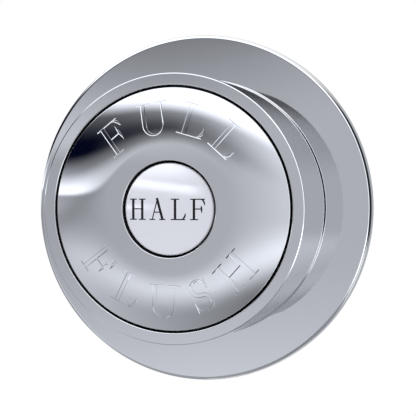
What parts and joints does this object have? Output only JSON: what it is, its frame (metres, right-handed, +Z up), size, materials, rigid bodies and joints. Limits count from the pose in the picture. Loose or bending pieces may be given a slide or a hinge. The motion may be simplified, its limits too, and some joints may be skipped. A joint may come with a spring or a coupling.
{
  "type": "push button cistern actuator",
  "caption": "Round chrome push button for a cistern: a domed ring button for the full flush round a white centre button for the half flush, on a collared wall rose with push rods behind.",
  "frame": {"origin": "centre of the rose's back face, on the wall", "axes": "+Y along the buttons' axis into the wall, +Z up, the buttons face -Y"},
  "size_m": [0.076, 0.1002, 0.076],
  "materials": {
    "polished_chrome": "polished",
    "white_glaze": "gloss",
    "black_nylon": "satin",
    "natural_acetal": "satin",
    "grey_rubber": "matte",
    "spring_steel": "satin",
    "stainless_steel": "satin",
    "turned_brass": "satin"
  },
  "bodies": {
    "root": {"bezel": "polished_chrome", "guide_housing": "black_nylon", "rose_gasket": "grey_rubber", "backnut_washer": "grey_rubber", "backnut": "natural_acetal", "hub_circlip": "spring_steel", "full_return_spring": "spring_steel", "half_return_spring": "spring_steel"},
    "full_button": {"full_flush_ring": "polished_chrome", "full_carrier": "natural_acetal", "carrier_screws": "stainless_steel", "full_push_rod": "stainless_steel", "full_rod_locknut": "turned_brass", "full_push_pad": "natural_acetal"},
    "half_button": {"half_flush_button": "white_glaze", "half_stem": "turned_brass", "half_stem_clip": "spring_steel", "half_push_rod": "stainless_steel", "half_rod_locknut": "turned_brass", "half_push_pad": "natural_acetal"}
  },
  "joints": [
    {"name": "full_press", "type": "slide", "parent": "root", "child": "full_button", "axis": [0, 1, 0], "range_m": [0, 0.007], "stiffness_N_per_m": 600, "springref_m": -0.01, "deforming": ["full_return_spring"]},
    {"name": "half_press", "type": "slide", "parent": "root", "child": "half_button", "axis": [0, 1, 0], "range_m": [0, 0.007], "stiffness_N_per_m": 400, "springref_m": -0.01, "deforming": ["half_return_spring"]}
  ]
}
